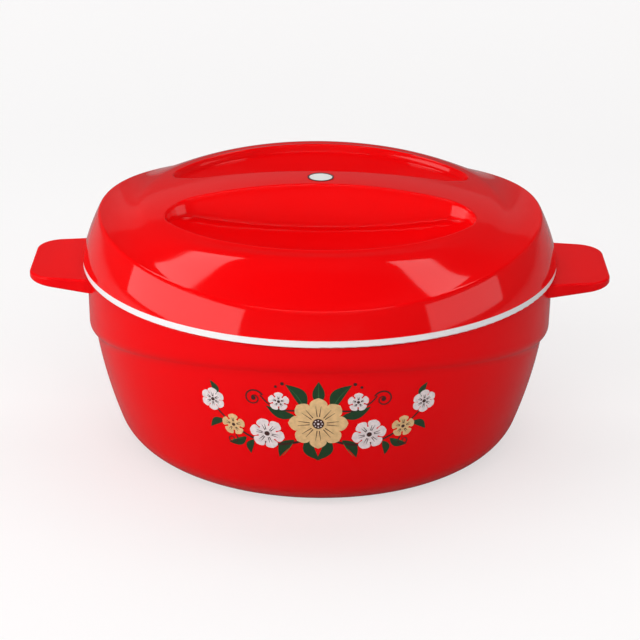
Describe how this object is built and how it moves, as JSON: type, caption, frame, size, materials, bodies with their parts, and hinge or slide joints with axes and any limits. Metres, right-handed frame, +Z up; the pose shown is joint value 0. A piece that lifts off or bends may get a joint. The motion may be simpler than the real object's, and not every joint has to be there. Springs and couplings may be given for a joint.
{
  "type": "insulated chapati casserole",
  "caption": "Round insulated serving casserole with two flat ears, a steel inner bowl and a lift-off domed lid with a recessed grip bar.",
  "frame": {"origin": "centre of the base, on the surface the casserole stands on", "axes": "+Z up, +X through the right handle, -Y towards the printed front"},
  "size_m": [0.333, 0.274, 0.1552],
  "materials": {
    "red_body": "satin-gloss moulded polypropylene",
    "red_lid": "high-gloss moulded polypropylene",
    "white_plastic": "smooth moulded polypropylene",
    "steel": "polished stainless steel with fine spun lines",
    "foam": "rigid polyurethane foam",
    "dark_rim": "dark gloss trim",
    "badge_white": "plain white domed label"
  },
  "bodies": {
    "casserole": {"outer_body": "red_body", "left_handle": "red_body", "right_handle": "red_body", "neck_ring": "white_plastic", "inner_bowl": "steel", "base_plug": "white_plastic", "body_insulation": "foam"},
    "lid": {"lid_cover": "red_lid", "lid_inner_cover": "white_plastic", "lid_plug": "white_plastic", "lid_insulation": "foam", "badge_rim": "dark_rim", "badge_disc": "badge_white"}
  },
  "joints": [
    {"name": "lid_lift", "type": "slide", "parent": "casserole", "child": "lid", "axis": [0, 0, 1], "range_m": [0, 0.15]}
  ]
}
